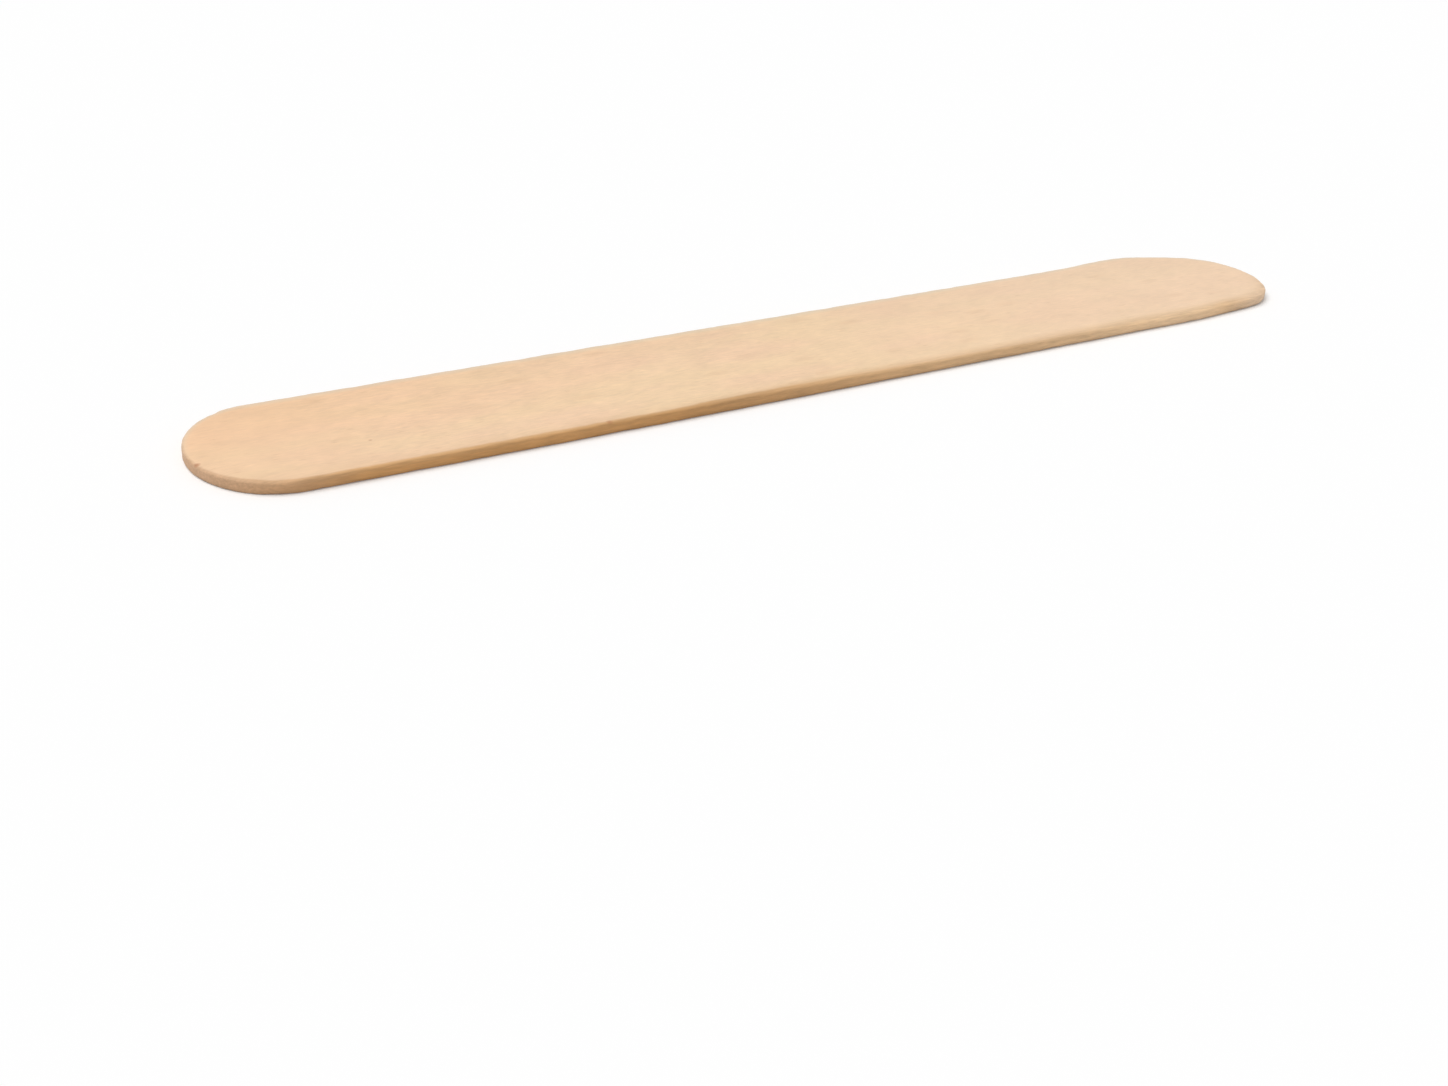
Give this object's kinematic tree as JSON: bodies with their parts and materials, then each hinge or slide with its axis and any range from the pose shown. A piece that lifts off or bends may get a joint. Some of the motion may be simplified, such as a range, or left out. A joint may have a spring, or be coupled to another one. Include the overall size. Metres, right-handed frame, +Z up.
{
  "type": "wooden spatula",
  "caption": "Flat birch spatula blade with parallel sides, full-round ends and eased edges, for holding the tongue down in an examination.",
  "frame": {"origin": "centre of the underside, where the blade rests", "axes": "+X along the length of the blade, +Y across its width, +Z up out of the upper face"},
  "size_m": [0.15, 0.02, 0.0016],
  "materials": {
    "birch": "sliced and tumbled smooth, uncoated, matt"
  },
  "bodies": {
    "root": {"blade": "birch"}
  },
  "joints": []
}
